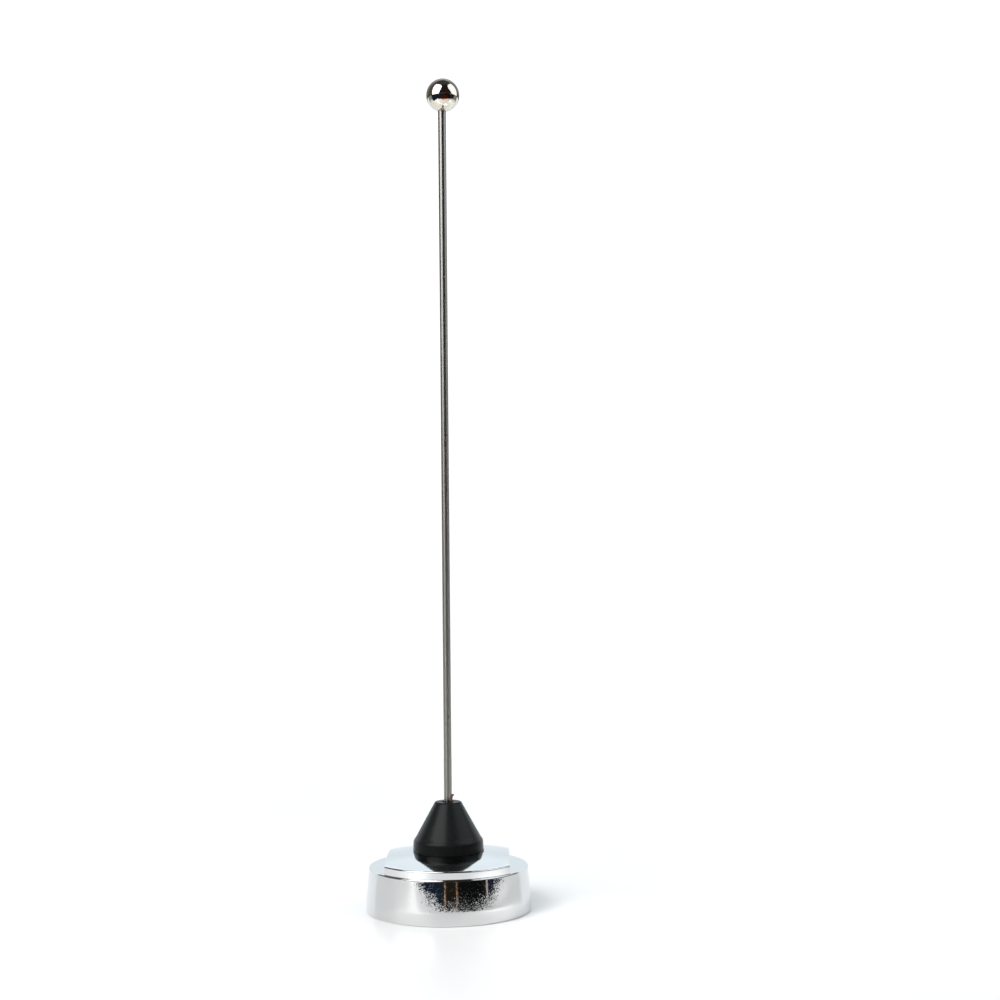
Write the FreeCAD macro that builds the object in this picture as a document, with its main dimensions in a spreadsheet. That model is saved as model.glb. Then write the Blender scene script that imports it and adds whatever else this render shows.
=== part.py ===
"""Quarter-wave mobile whip antenna for a threaded roof mount.

A chrome-plated cast base nut carries a black moulded insulator cone, which
holds a thin stainless whip rod with a ball on its tip.  Under the base are the
internal mount thread, the rubber sealing ring in its recess, and the sprung
centre contact.

Frame: the origin is on the whip's axis, in the plane of the base's bottom rim.
+Z runs up the whip.  The two wrench flats face +X and -X.  Millimetres.
"""

import math
import os

import FreeCAD, Part
import Sketcher

V = FreeCAD.Vector
doc = FreeCAD.newDocument("MobileAntenna")

# ---------------------------------------------------------------- dimensions
SIZES = [
    # base nut, outside
    ("rim_r", 21.37, "radius of the lower band of the skirt"),
    ("rim_round", 0.5, "rounding of the bottom outer edge"),
    ("band_top_z", 2.6, "top of the lower band"),
    ("skirt_bend", 11.6, "bend radius between the lower band and the conical skirt"),
    ("skirt_low_r", 21.316, "radius at the foot of the conical skirt"),
    ("skirt_low_z", 3.708, "height of the foot of the conical skirt"),
    ("skirt_r", 20.62, "radius at the top of the skirt, before its rounding"),
    ("ledge_z", 11.28, "height of the ledge beside the wrench flats"),
    ("ledge_round", 0.3, "rounding of the ledge's outer edge"),
    ("boss_r", 20.2, "radius of the raised boss"),
    ("boss_z", 13.32, "height of the boss at its edge"),
    ("boss_round", 0.22, "rounding of the boss's edge"),
    ("dome_bend", 98.6, "radius of the domed top"),
    ("seat_r", 9.2, "radius of the flat seat for the insulator"),
    ("seat_z", 14.97, "height of that seat"),
    ("flats_across", 31.75, "width over the two wrench flats"),
    # base nut, inside
    ("ring_seat_r", 19.6, "radius of the sealing ring's recess"),
    ("ring_seat_z", 1.6, "depth of the sealing ring's recess"),
    ("thread_lead", 0.6, "chamfer at the mouth of the thread"),
    ("thread_r", 14.3, "outer radius of the internal thread"),
    ("thread_top_z", 7.4, "height where the thread ends"),
    ("relief_r", 14.9, "radius of the thread relief"),
    ("relief_top_z", 8.6, "top of the thread relief"),
    ("pocket_r", 13.8, "radius of the pocket over the mount"),
    ("web_z", 11.6, "underside of the web"),
    ("web_hole_r", 6.5, "radius of the hole through the web"),
    # insulator cone
    ("cone_foot_r", 9.12, "radius of the cone's foot"),
    ("cone_crease_low_r", 9.05, "radius below the crease"),
    ("cone_crease_low_z", 17.45, "height below the crease"),
    ("cone_crease_high_r", 8.50, "radius above the crease"),
    ("cone_crease_high_z", 18.45, "height above the crease"),
    ("cone_crease_bend", 1.9, "bend radius of the crease"),
    ("cone_top_r", 3.54, "radius of the cone's flat top"),
    ("cone_top_z", 27.67, "height of the cone's flat top"),
    ("cone_top_round", 0.4, "rounding at the top edge"),
    ("cone_foot_round", 0.12, "rounding at the foot"),
    ("spigot_r", 6.3, "radius of the cone's spigot in the web hole"),
    ("spigot_z", 12.9, "lower end of the cone's spigot"),
    ("groove_in_r", 7.0, "inner radius of the seal groove"),
    ("groove_out_r", 8.2, "outer radius of the seal groove"),
    ("groove_depth", 1.0, "depth of the seal groove"),
    ("whip_hole_r", 1.5, "radius of the hole that the whip enters"),
    ("screw_hole_r", 1.65, "radius of the clamp screw's access hole"),
    # whip ferrule
    ("ferrule_r", 3.5, "radius of the ferrule"),
    ("ferrule_waist_r", 2.95, "radius of the ferrule's waist"),
    ("ferrule_low_z", 13.1, "lower end of the ferrule"),
    ("waist_low_z", 14.6, "lower end of the waist"),
    ("waist_high_z", 16.4, "upper end of the waist"),
    ("ferrule_top_z", 25.4, "upper end of the ferrule"),
    ("ferrule_gap", 0.02, "gap between ferrule and cone"),
    ("stud_bore_top_z", 17.6, "top of the stud's bore in the ferrule"),
    ("rod_bore_low_z", 18.2, "foot of the rod's bore in the ferrule"),
    ("fit_gap", 0.02, "radial gap of a close fit"),
    # whip and ball
    ("rod_r", 1.04, "radius of the whip rod"),
    ("rod_low_z", 18.3, "lower end of the whip rod"),
    ("rod_into_ball", 1.2, "how far the rod runs past the ball's middle"),
    ("rod_chamfer", 0.2, "chamfer of the rod's ends"),
    ("ball_r", 4.36, "radius of the ball"),
    ("ball_z", 212.10, "height of the ball's middle"),
    ("ball_off_x", 0.25, "how far the ball's middle stands off the axis"),
    # clamp screw
    ("screw_r", 1.5, "radius of the clamp screw"),
    ("screw_long", 3.0, "length of the clamp screw"),
    ("screw_z", 21.4, "height of the clamp screw"),
    ("screw_gap", 0.02, "gap between the screw's point and the rod"),
    ("screw_hex", 1.5, "width over flats of the screw's socket"),
    ("screw_hex_deep", 1.3, "depth of the screw's socket"),
    # seal under the cone
    ("seal_mid_r", 7.6, "radius of the seal ring's centreline"),
    ("seal_cord_r", 0.48, "radius of the seal ring's section"),
    # lower insulator
    ("bush_flange_r", 13.5, "radius of the lower insulator's flange"),
    ("bush_low_z", 10.0, "underside of the lower insulator"),
    ("bush_spigot_top_z", 12.7, "top of the lower insulator's spigot"),
    ("bush_bore_r", 2.65, "bore of the lower insulator"),
    ("bush_recess_r", 5.5, "radius of its recess"),
    ("bush_recess_z", 11.0, "height of the recess's floor"),
    ("bush_edge", 0.3, "chamfer of the flange's lower edge"),
    # washer
    ("washer_r", 5.2, "radius of the washer"),
    ("washer_thick", 0.4, "thickness of the washer"),
    # contact stud
    ("stud_head_r", 4.5, "radius of the contact stud's head"),
    ("stud_head_low_z", 9.6, "underside of the head"),
    ("stud_head_edge", 0.25, "chamfer of the head"),
    ("stud_r", 2.48, "radius of the stud's shank"),
    ("stud_top_z", 17.4, "top of the stud's shank"),
    ("stud_bore_r", 1.58, "bore that holds the spring"),
    ("stud_bore_end_z", 15.5, "end of that bore"),
    ("stud_lip_r", 1.27, "bore of the rolled lip"),
    ("stud_lip_z", 10.05, "inner face of the rolled lip"),
    ("slot_wide", 0.9, "width of the driver slot"),
    ("slot_deep", 0.45, "depth of the driver slot"),
    # contact plunger
    ("pin_r", 1.2, "radius of the plunger's tip"),
    ("pin_low_z", 7.9, "lowest point of the plunger"),
    ("pin_nose", 0.7, "height of the rounded nose"),
    ("pin_shoulder_r", 1.5, "radius of the plunger's shoulder"),
    ("pin_shoulder_low_z", 10.07, "underside of the shoulder"),
    ("pin_top_z", 11.2, "top of the plunger"),
    # contact spring
    ("spring_mid_r", 1.26, "radius of the spring's coil centreline"),
    ("spring_wire_r", 0.16, "radius of the spring's wire"),
    ("spring_low_z", 11.22, "lower end of the spring"),
    ("spring_high_z", 15.48, "upper end of the spring"),
    ("spring_turns", 6.0, "number of turns"),
    # sealing ring under the base
    ("ring_out_r", 19.5, "outer radius of the sealing ring"),
    ("ring_in_r", 14.65, "inner radius of the sealing ring"),
    ("ring_thick", 1.58, "thickness of the sealing ring"),
    ("ring_edge", 0.12, "chamfer of the sealing ring's edges"),
]
sheet = doc.addObject("Spreadsheet::Sheet", "Sizes")
for row, (alias, value, note) in enumerate(SIZES, 1):
    sheet.set("A%d" % row, alias)
    sheet.set("B%d" % row, repr(value))
    sheet.set("C%d" % row, note)
    sheet.setAlias("B%d" % row, alias)
doc.recompute()
NUMBER = {alias: value for alias, value, note in SIZES}


class Size:
    """A length that knows both its number and its spreadsheet expression."""

    def __init__(self, number, text):
        self.n, self.text = float(number), text

    def _with(self, other, sign):
        other = other if isinstance(other, Size) else Size(other, repr(float(other)))
        n = {"+": self.n + other.n, "-": self.n - other.n, "*": self.n * other.n}[sign] if sign != "/" else self.n / other.n
        return Size(n, "(%s %s %s)" % (self.text, sign, other.text))

    def __add__(self, other):
        return self._with(other, "+")

    def __sub__(self, other):
        return self._with(other, "-")

    def __mul__(self, other):
        return self._with(other, "*")

    def __truediv__(self, other):
        return self._with(other, "/")


def S(alias):
    return Size(NUMBER[alias], "Sizes." + alias)


ZERO = Size(0.0, "0")
BODIES = []


def new_body(label):
    body = doc.addObject("PartDesign::Body", label)
    body.Label = label
    BODIES.append(body)
    return body


def plane(body, role):
    return [o for o in body.Origin.OriginFeatures if o.Role == role][0]


def new_sketch(body, name, role="XZ_Plane"):
    sk = body.newObject("Sketcher::SketchObject", name)
    sk.AttachmentSupport = (plane(body, role), [""])
    sk.MapMode = "FlatFace"
    return sk


def bind(sk, index, size):
    if size.text != "0":
        sk.setExpression("Constraints[%d]" % index, size.text)


def hold(sk, geo, pos, x, y):
    """Holds a point of the sketch at (x, y)."""
    if abs(x.n) < 1e-9:
        sk.addConstraint(Sketcher.Constraint("PointOnObject", geo, pos, -2))
    else:
        bind(sk, sk.addConstraint(Sketcher.Constraint("DistanceX", -1, 1, geo, pos, x.n)), x)
    if abs(y.n) < 1e-9:
        sk.addConstraint(Sketcher.Constraint("PointOnObject", geo, pos, -1))
    else:
        bind(sk, sk.addConstraint(Sketcher.Constraint("DistanceY", -1, 1, geo, pos, y.n)), y)


def outline(sk, points):
    """A closed outline. points: (x, y) or (x, y, bend, side); a point with a
    bend starts an arc of that radius to the next point, whose centre lies on
    the left (+1) or right (-1) of the way there."""
    n = len(points)
    ends = []
    for i, p in enumerate(points):
        q = points[(i + 1) % n]
        a, b = V(p[0].n, p[1].n, 0), V(q[0].n, q[1].n, 0)
        if len(p) == 2:
            g = sk.addGeometry(Part.LineSegment(a, b), False)
            ends.append((g, 1, 2))
            continue
        r, side = p[2].n, p[3]
        mid, d = (a + b) * 0.5, b - a
        half = d.Length / 2
        off = math.sqrt(max(r * r - half * half, 0.0))
        left = V(-d.y, d.x, 0) / d.Length
        c = mid + left * (off * side)
        t0, t1 = math.atan2(a.y - c.y, a.x - c.x), math.atan2(b.y - c.y, b.x - c.x)
        circle = Part.Circle(c, V(0, 0, 1), r)
        if side > 0:
            g = sk.addGeometry(Part.ArcOfCircle(circle, t0, t1 if t1 > t0 else t1 + 2 * math.pi), False)
            ends.append((g, 1, 2))
        else:
            g = sk.addGeometry(Part.ArcOfCircle(circle, t1, t0 if t0 > t1 else t0 + 2 * math.pi), False)
            ends.append((g, 2, 1))
        bind(sk, sk.addConstraint(Sketcher.Constraint("Radius", g, r)), p[2])
    for i, p in enumerate(points):
        g, first, last = ends[i]
        gn, next_first, _ = ends[(i + 1) % n]
        sk.addConstraint(Sketcher.Constraint("Coincident", g, last, gn, next_first))
        hold(sk, g, first, p[0], p[1])
    return sk


def turned(label, points, name=None):
    """A body turned about Z from an outline in the XZ plane."""
    body = new_body(label)
    sk = outline(new_sketch(body, (name or label) + "_outline"), points)
    doc.recompute()
    rev = body.newObject("PartDesign::Revolution", (name or label) + "_turned")
    rev.Profile = sk
    rev.ReferenceAxis = (sk, ["V_Axis"])
    rev.Angle = 360.0
    doc.recompute()
    return body


def cut_round(body, name, outline_points):
    """A groove turned about Z."""
    sk = outline(new_sketch(body, name + "_outline"), outline_points)
    doc.recompute()
    before = body.Shape.Volume
    g = body.newObject("PartDesign::Groove", name)
    g.Profile = sk
    g.ReferenceAxis = (sk, ["V_Axis"])
    g.Angle = 360.0
    doc.recompute()
    if not body.Shape.Volume < before - 1e-6:
        raise RuntimeError(name + " cuts nothing")
    return g


def rectangle(sk, x0, y0, x1, y1, signs):
    """A rectangle held at its corners; signs says which way each corner's
    distances run, because a distance is measured as positive."""
    pts = [(x0, y0), (x1, y0), (x1, y1), (x0, y1)]
    sx, sy = signs
    ids = []
    for i in range(4):
        a, b = pts[i], pts[(i + 1) % 4]
        ids.append(sk.addGeometry(Part.LineSegment(V(sx * a[0].n, sy * a[1].n, 0), V(sx * b[0].n, sy * b[1].n, 0)), False))
    for i in range(4):
        sk.addConstraint(Sketcher.Constraint("Coincident", ids[i], 2, ids[(i + 1) % 4], 1))
    for i in range(4):
        sk.addConstraint(Sketcher.Constraint("Horizontal" if i % 2 == 0 else "Vertical", ids[i]))
    for corner in (0, 2):
        x, y = pts[corner]
        for kind, s, size in (("DistanceX", sx, x), ("DistanceY", sy, y)):
            if size.n == 0:
                sk.addConstraint(Sketcher.Constraint("PointOnObject", ids[corner], 1, -2 if kind == "DistanceX" else -1))
            elif s > 0:
                bind(sk, sk.addConstraint(Sketcher.Constraint(kind, -1, 1, ids[corner], 1, size.n)), size)
            else:
                bind(sk, sk.addConstraint(Sketcher.Constraint(kind, ids[corner], 1, -1, 1, size.n)), size)


def edges_where(shape, test):
    return ["Edge%d" % (i + 1) for i, e in enumerate(shape.Edges) if test(e)]


# ------------------------------------------------------------- the base nut
base = turned("base_housing", [
    (S("ring_seat_r"), ZERO),
    (S("rim_r") - S("rim_round"), ZERO, S("rim_round"), 1),
    (S("rim_r"), S("rim_round")),
    (S("rim_r"), S("band_top_z"), S("skirt_bend"), 1),
    (S("skirt_low_r"), S("skirt_low_z")),
    (S("skirt_r"), S("ledge_z") - S("ledge_round"), S("ledge_round"), 1),
    (S("skirt_r") - S("ledge_round"), S("ledge_z")),
    (S("boss_r"), S("ledge_z")),
    (S("boss_r"), S("boss_z"), S("dome_bend"), 1),
    (S("seat_r"), S("seat_z")),
    (S("web_hole_r"), S("seat_z")),
    (S("web_hole_r"), S("web_z")),
    (S("pocket_r"), S("web_z")),
    (S("pocket_r"), S("relief_top_z")),
    (S("relief_r"), S("relief_top_z")),
    (S("relief_r"), S("thread_top_z")),
    (S("thread_r"), S("thread_top_z")),
    (S("thread_r"), S("ring_seat_z") + S("thread_lead")),
    (S("thread_r") + S("thread_lead"), S("ring_seat_z")),
    (S("ring_seat_r"), S("ring_seat_z")),
])
# The two wrench flats leave a ledge on each side.
for side, sign in (("right", 1), ("left", -1)):
    before = base.Shape.Volume
    sk = new_sketch(base, "flat_" + side + "_outline")
    rectangle(sk, S("flats_across") / 2, S("ledge_z"), S("rim_r") + 2, S("seat_z") + 2, (sign, 1))
    doc.recompute()
    cut = base.newObject("PartDesign::Pocket", "flat_" + side)
    cut.Profile = sk
    cut.Type = 1
    cut.Midplane = True
    doc.recompute()
    if not base.Shape.Volume < before - 1:
        raise RuntimeError("the wrench flat cuts nothing")
# The boss's upper edge is rounded all the way round, over the flats as well.
half = NUMBER["flats_across"] / 2


def on_boss_top(e):
    box = e.BoundBox
    far = min(math.hypot(v.X, v.Y) for v in e.Vertexes)
    return box.ZMin > NUMBER["boss_z"] - 1e-3 and far > half - 1e-3 and box.ZLength < 1.5 and box.ZMax < NUMBER["seat_z"] - 0.5 and not (box.YLength < 1e-3)


boss_edges = edges_where(base.Shape, on_boss_top)
last_cut = base.Tip
rounding = base.newObject("PartDesign::Fillet", "boss_edge")
rounding.Base = (last_cut, boss_edges)
rounding.setExpression("Radius", "Sizes.boss_round")
doc.recompute()
base.Tip = rounding

# -------------------------------------------------------- the insulator cone
gap = S("ferrule_gap")
cone = turned("insulator_cone", [
    (S("cone_foot_r") - S("cone_foot_round"), S("seat_z"), S("cone_foot_round"), 1),
    (S("cone_foot_r"), S("seat_z") + S("cone_foot_round")),
    (S("cone_crease_low_r"), S("cone_crease_low_z"), S("cone_crease_bend"), 1),
    (S("cone_crease_high_r"), S("cone_crease_high_z")),
    (S("cone_top_r"), S("cone_top_z") - S("cone_top_round"), S("cone_top_round"), 1),
    (S("cone_top_r") - S("cone_top_round"), S("cone_top_z")),
    (S("whip_hole_r"), S("cone_top_z")),
    (S("whip_hole_r"), S("ferrule_top_z") + gap),
    (S("ferrule_r") + gap, S("ferrule_top_z") + gap),
    (S("ferrule_r") + gap, S("waist_high_z") - gap),
    (S("ferrule_waist_r") + gap, S("waist_high_z") - gap),
    (S("ferrule_waist_r") + gap, S("waist_low_z") + gap),
    (S("ferrule_r") + gap, S("waist_low_z") + gap),
    (S("ferrule_r") + gap, S("spigot_z")),
    (S("spigot_r"), S("spigot_z")),
    (S("spigot_r"), S("seat_z")),
    (S("groove_in_r"), S("seat_z")),
    (S("groove_in_r"), S("seat_z") + S("groove_depth")),
    (S("groove_out_r"), S("seat_z") + S("groove_depth")),
    (S("groove_out_r"), S("seat_z")),
])


def side_hole(body, name, radius, height):
    """A round hole that runs from the axis out through the +Y side."""
    sk = new_sketch(body, name + "_outline")
    g = sk.addGeometry(Part.Circle(V(0, height.n, 0), V(0, 0, 1), radius.n), False)
    sk.addConstraint(Sketcher.Constraint("PointOnObject", g, 3, -2))
    bind(sk, sk.addConstraint(Sketcher.Constraint("DistanceY", -1, 1, g, 3, height.n)), height)
    bind(sk, sk.addConstraint(Sketcher.Constraint("Radius", g, radius.n)), radius)
    doc.recompute()
    before = body.Shape.Volume
    cut = body.newObject("PartDesign::Pocket", name)
    cut.Profile = sk
    cut.Type = 0
    cut.Length = 20.0
    for reverse in (False, True):
        cut.Reversed = reverse
        doc.recompute()
        box = body.Shape.BoundBox
        probe = V(0, 0.5 * (NUMBER["ferrule_r"] + NUMBER["rod_r"]), height.n) if body.Label == "whip_ferrule" else V(0, 5.2, height.n)
        if body.Shape.Volume < before - 1e-3 and not body.Shape.isInside(probe, 1e-6, False):
            return cut
    raise RuntimeError(name + " cuts nothing")


side_hole(cone, "screw_access", S("screw_hole_r"), S("screw_z"))

# ------------------------------------------------------------ the ferrule
ferrule = turned("whip_ferrule", [
    (S("stud_r") + S("fit_gap"), S("ferrule_low_z")),
    (S("ferrule_r"), S("ferrule_low_z")),
    (S("ferrule_r"), S("waist_low_z")),
    (S("ferrule_waist_r"), S("waist_low_z")),
    (S("ferrule_waist_r"), S("waist_high_z")),
    (S("ferrule_r"), S("waist_high_z")),
    (S("ferrule_r"), S("ferrule_top_z")),
    (S("rod_r") + S("fit_gap"), S("ferrule_top_z")),
    (S("rod_r") + S("fit_gap"), S("rod_bore_low_z")),
    (ZERO, S("rod_bore_low_z")),
    (ZERO, S("stud_bore_top_z")),
    (S("stud_r") + S("fit_gap"), S("stud_bore_top_z")),
])
side_hole(ferrule, "screw_bore", S("screw_r") + S("fit_gap"), S("screw_z"))

# ------------------------------------------------------- the whip and its ball
rod_top = S("ball_z") + S("rod_into_ball")
rod = turned("whip_rod", [
    (ZERO, S("rod_low_z")),
    (S("rod_r") - S("rod_chamfer"), S("rod_low_z")),
    (S("rod_r"), S("rod_low_z") + S("rod_chamfer")),
    (S("rod_r"), rod_top - S("rod_chamfer")),
    (S("rod_r") - S("rod_chamfer"), rod_top),
    (ZERO, rod_top),
])

# The ball is drilled a little off its middle, so it is a sphere with a bore
# moved the other way, then placed on the rod.
sphere = doc.addObject("Part::Sphere", "ball_blank")
sphere.setExpression("Radius", "Sizes.ball_r")
bore = doc.addObject("Part::Cylinder", "ball_bore")
bore.setExpression("Radius", "Sizes.rod_r + Sizes.fit_gap")
bore.setExpression("Height", "Sizes.ball_r + Sizes.rod_into_ball + 0.1")
bore.setExpression("Placement.Base.x", "-Sizes.ball_off_x")
bore.setExpression("Placement.Base.z", "-Sizes.ball_r - 0.05")
ball = doc.addObject("Part::Cut", "ball_tip")
ball.Base, ball.Tool = sphere, bore
ball.Label = "ball_tip"
ball.setExpression("Placement.Base.x", "Sizes.ball_off_x")
ball.setExpression("Placement.Base.z", "Sizes.ball_z")

# ------------------------------------------------------------ the clamp screw
screw = turned("clamp_screw", [
    (ZERO, ZERO),
    (S("screw_r") - 0.35, ZERO),
    (S("screw_r"), Size(0.35, "0.35")),
    (S("screw_r"), S("screw_long") - 0.2),
    (S("screw_r") - 0.2, S("screw_long")),
    (ZERO, S("screw_long")),
])
sk = new_sketch(screw, "screw_socket_outline", "XY_Plane")
sk.AttachmentOffset = FreeCAD.Placement(V(0, 0, NUMBER["screw_long"]), FreeCAD.Rotation())
sk.setExpression("AttachmentOffset.Base.z", "Sizes.screw_long")
hex_r = NUMBER["screw_hex"] / math.sqrt(3)
corners = [V(hex_r * math.cos(math.radians(60 * k)), hex_r * math.sin(math.radians(60 * k)), 0) for k in range(6)]
ids = [sk.addGeometry(Part.LineSegment(corners[k], corners[(k + 1) % 6]), False) for k in range(6)]
ring = sk.addGeometry(Part.Circle(V(0, 0, 0), V(0, 0, 1), hex_r), True)
sk.addConstraint(Sketcher.Constraint("Coincident", ring, 3, -1, 1))
bind(sk, sk.addConstraint(Sketcher.Constraint("Radius", ring, hex_r)), S("screw_hex") / 1.7320508)
for k in range(6):
    sk.addConstraint(Sketcher.Constraint("Coincident", ids[k], 2, ids[(k + 1) % 6], 1))
    sk.addConstraint(Sketcher.Constraint("PointOnObject", ids[k], 1, ring))
for k in range(5):
    sk.addConstraint(Sketcher.Constraint("Equal", ids[k], ids[k + 1]))
sk.addConstraint(Sketcher.Constraint("PointOnObject", ids[0], 1, -1))
doc.recompute()
before = screw.Shape.Volume
socket = screw.newObject("PartDesign::Pocket", "screw_socket")
socket.Profile = sk
socket.setExpression("Length", "Sizes.screw_hex_deep")
doc.recompute()
if not screw.Shape.Volume < before - 0.5:
    socket.Reversed = True
    doc.recompute()
    if not screw.Shape.Volume < before - 0.5:
        raise RuntimeError("the screw's socket cuts nothing")
# The screw's axis runs along +Y, with its point at the rod.
screw.Placement = FreeCAD.Placement(
    V(0, NUMBER["rod_r"] + NUMBER["screw_gap"], NUMBER["screw_z"]), FreeCAD.Rotation(V(1, 0, 0), -90)
)
screw.setExpression("Placement.Base.y", "Sizes.rod_r + Sizes.screw_gap")
screw.setExpression("Placement.Base.z", "Sizes.screw_z")

# --------------------------------------------------------- seal under the cone
seal = doc.addObject("Part::Torus", "cone_seal")
seal.Label = "cone_seal"
seal.setExpression("Radius1", "Sizes.seal_mid_r")
seal.setExpression("Radius2", "Sizes.seal_cord_r")
seal.setExpression("Placement.Base.z", "Sizes.seat_z + Sizes.groove_depth / 2")

# --------------------------------------------------------- lower insulator
bush = turned("lower_insulator", [
    (S("bush_recess_r"), S("bush_low_z")),
    (S("bush_flange_r") - S("bush_edge"), S("bush_low_z")),
    (S("bush_flange_r"), S("bush_low_z") + S("bush_edge")),
    (S("bush_flange_r"), S("web_z")),
    (S("spigot_r"), S("web_z")),
    (S("spigot_r"), S("bush_spigot_top_z")),
    (S("bush_bore_r"), S("bush_spigot_top_z")),
    (S("bush_bore_r"), S("bush_recess_z")),
    (S("bush_recess_r"), S("bush_recess_z")),
])

washer = turned("contact_washer", [
    (S("bush_bore_r"), S("bush_recess_z") - S("washer_thick")),
    (S("washer_r"), S("bush_recess_z") - S("washer_thick")),
    (S("washer_r"), S("bush_recess_z")),
    (S("bush_bore_r"), S("bush_recess_z")),
])

# ------------------------------------------------------------ contact stud
head_top = S("bush_recess_z") - S("washer_thick")
stud = turned("contact_stud", [
    (S("stud_lip_r"), S("stud_head_low_z")),
    (S("stud_head_r") - S("stud_head_edge"), S("stud_head_low_z")),
    (S("stud_head_r"), S("stud_head_low_z") + S("stud_head_edge")),
    (S("stud_head_r"), head_top),
    (S("stud_r"), head_top),
    (S("stud_r"), S("stud_top_z") - 0.4),
    (S("stud_r") - 0.4, S("stud_top_z")),
    (ZERO, S("stud_top_z")),
    (ZERO, S("stud_bore_end_z")),
    (S("stud_bore_r"), S("stud_bore_end_z")),
    (S("stud_bore_r"), S("stud_lip_z")),
    (S("stud_lip_r"), S("stud_lip_z")),
])
# The driver slot is in two arms, one each side of the plunger.
for side, sign in (("right", 1), ("left", -1)):
    sk = new_sketch(stud, "slot_" + side + "_outline")
    rectangle(sk, S("stud_lip_r") + 0.75, S("stud_head_low_z") - 1, S("stud_head_r") + 1, S("stud_head_low_z") + S("slot_deep"), (sign, 1))
    doc.recompute()
    before = stud.Shape.Volume
    cut = stud.newObject("PartDesign::Pocket", "slot_" + side)
    cut.Profile = sk
    cut.Type = 0
    cut.Midplane = True
    cut.setExpression("Length", "Sizes.slot_wide")
    doc.recompute()
    if not stud.Shape.Volume < before - 0.3:
        raise RuntimeError("the driver slot cuts nothing")

# ------------------------------------------------------------ contact plunger
nose = S("pin_nose")
nose_bend = (S("pin_r") * S("pin_r") + nose * nose) / (nose * 2)
pin = turned("contact_plunger", [
    (ZERO, S("pin_low_z"), nose_bend, 1),
    (S("pin_r"), S("pin_low_z") + nose),
    (S("pin_r"), S("pin_shoulder_low_z")),
    (S("pin_shoulder_r"), S("pin_shoulder_low_z")),
    (S("pin_shoulder_r"), S("pin_top_z")),
    (ZERO, S("pin_top_z")),
])

# ------------------------------------------------------------ contact spring
spring = new_body("contact_spring")
sk = new_sketch(spring, "spring_wire_outline")
wire = S("spring_wire_r")
g = sk.addGeometry(Part.Circle(V(NUMBER["spring_mid_r"], NUMBER["spring_low_z"] + wire.n, 0), V(0, 0, 1), wire.n), False)
hold(sk, g, 3, S("spring_mid_r"), S("spring_low_z") + wire)
bind(sk, sk.addConstraint(Sketcher.Constraint("Radius", g, wire.n)), wire)
doc.recompute()
coil = spring.newObject("PartDesign::AdditiveHelix", "spring_coil")
coil.Profile = sk
coil.ReferenceAxis = (sk, ["V_Axis"])
coil.Mode = 2
coil.setExpression("Height", "Sizes.spring_high_z - Sizes.spring_low_z - 2 * Sizes.spring_wire_r")
coil.setExpression("Turns", "Sizes.spring_turns")
coil.Angle = 0.0
coil.Growth = 0.0
doc.recompute()

# --------------------------------------------------------- the sealing ring
edge = S("ring_edge")
gasket = turned("base_gasket", [
    (S("ring_in_r"), edge),
    (S("ring_in_r") + edge, ZERO),
    (S("ring_out_r") - edge, ZERO),
    (S("ring_out_r"), edge),
    (S("ring_out_r"), S("ring_thick") - edge),
    (S("ring_out_r") - edge, S("ring_thick")),
    (S("ring_in_r") + edge, S("ring_thick")),
    (S("ring_in_r"), S("ring_thick") - edge),
])

# ------------------------------------------------------------------- output
doc.recompute()
for obj in doc.Objects:
    if "Invalid" in obj.State or "Error" in obj.State:
        raise RuntimeError("failed: " + obj.Name + " " + str(obj.State))
    if obj.TypeId == "Sketcher::SketchObject" and obj.solve() != 0:
        raise RuntimeError("sketch not solved: " + obj.Name)
pieces = BODIES + [ball, seal]
for obj in pieces:
    if obj.Shape.isNull() or not obj.Shape.isValid() or len(obj.Shape.Solids) != 1:
        raise RuntimeError("bad shape: " + obj.Label)
os.makedirs("parts", exist_ok=True)
for obj in pieces:
    box = obj.Shape.BoundBox
    print("%-16s %8.2f mm3  x %7.2f %7.2f  y %7.2f %7.2f  z %7.2f %7.2f" % (
        obj.Label, obj.Shape.Volume, box.XMin, box.XMax, box.YMin, box.YMax, box.ZMin, box.ZMax))
    obj.Shape.exportStep(os.path.join("parts", obj.Label + ".step"))
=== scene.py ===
import math

import bmesh
import bpy
import numpy as np
from mathutils import Matrix, Vector


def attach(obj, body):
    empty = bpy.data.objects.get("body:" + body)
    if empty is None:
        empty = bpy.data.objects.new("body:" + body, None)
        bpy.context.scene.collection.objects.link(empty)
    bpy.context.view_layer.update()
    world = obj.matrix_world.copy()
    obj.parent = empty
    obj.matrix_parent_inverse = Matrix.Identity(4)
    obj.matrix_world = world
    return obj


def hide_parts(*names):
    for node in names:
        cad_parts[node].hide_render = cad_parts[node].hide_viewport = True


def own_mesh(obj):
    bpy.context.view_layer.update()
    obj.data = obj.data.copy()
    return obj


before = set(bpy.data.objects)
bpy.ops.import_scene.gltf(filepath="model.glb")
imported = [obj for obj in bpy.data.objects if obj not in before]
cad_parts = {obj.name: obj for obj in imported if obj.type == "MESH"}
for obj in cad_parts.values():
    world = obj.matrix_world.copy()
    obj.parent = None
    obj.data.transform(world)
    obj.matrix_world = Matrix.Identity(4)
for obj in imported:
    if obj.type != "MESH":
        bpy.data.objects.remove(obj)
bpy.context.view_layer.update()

MM = 0.001
SCENE = bpy.context.scene
TAU = 2 * math.pi


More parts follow.
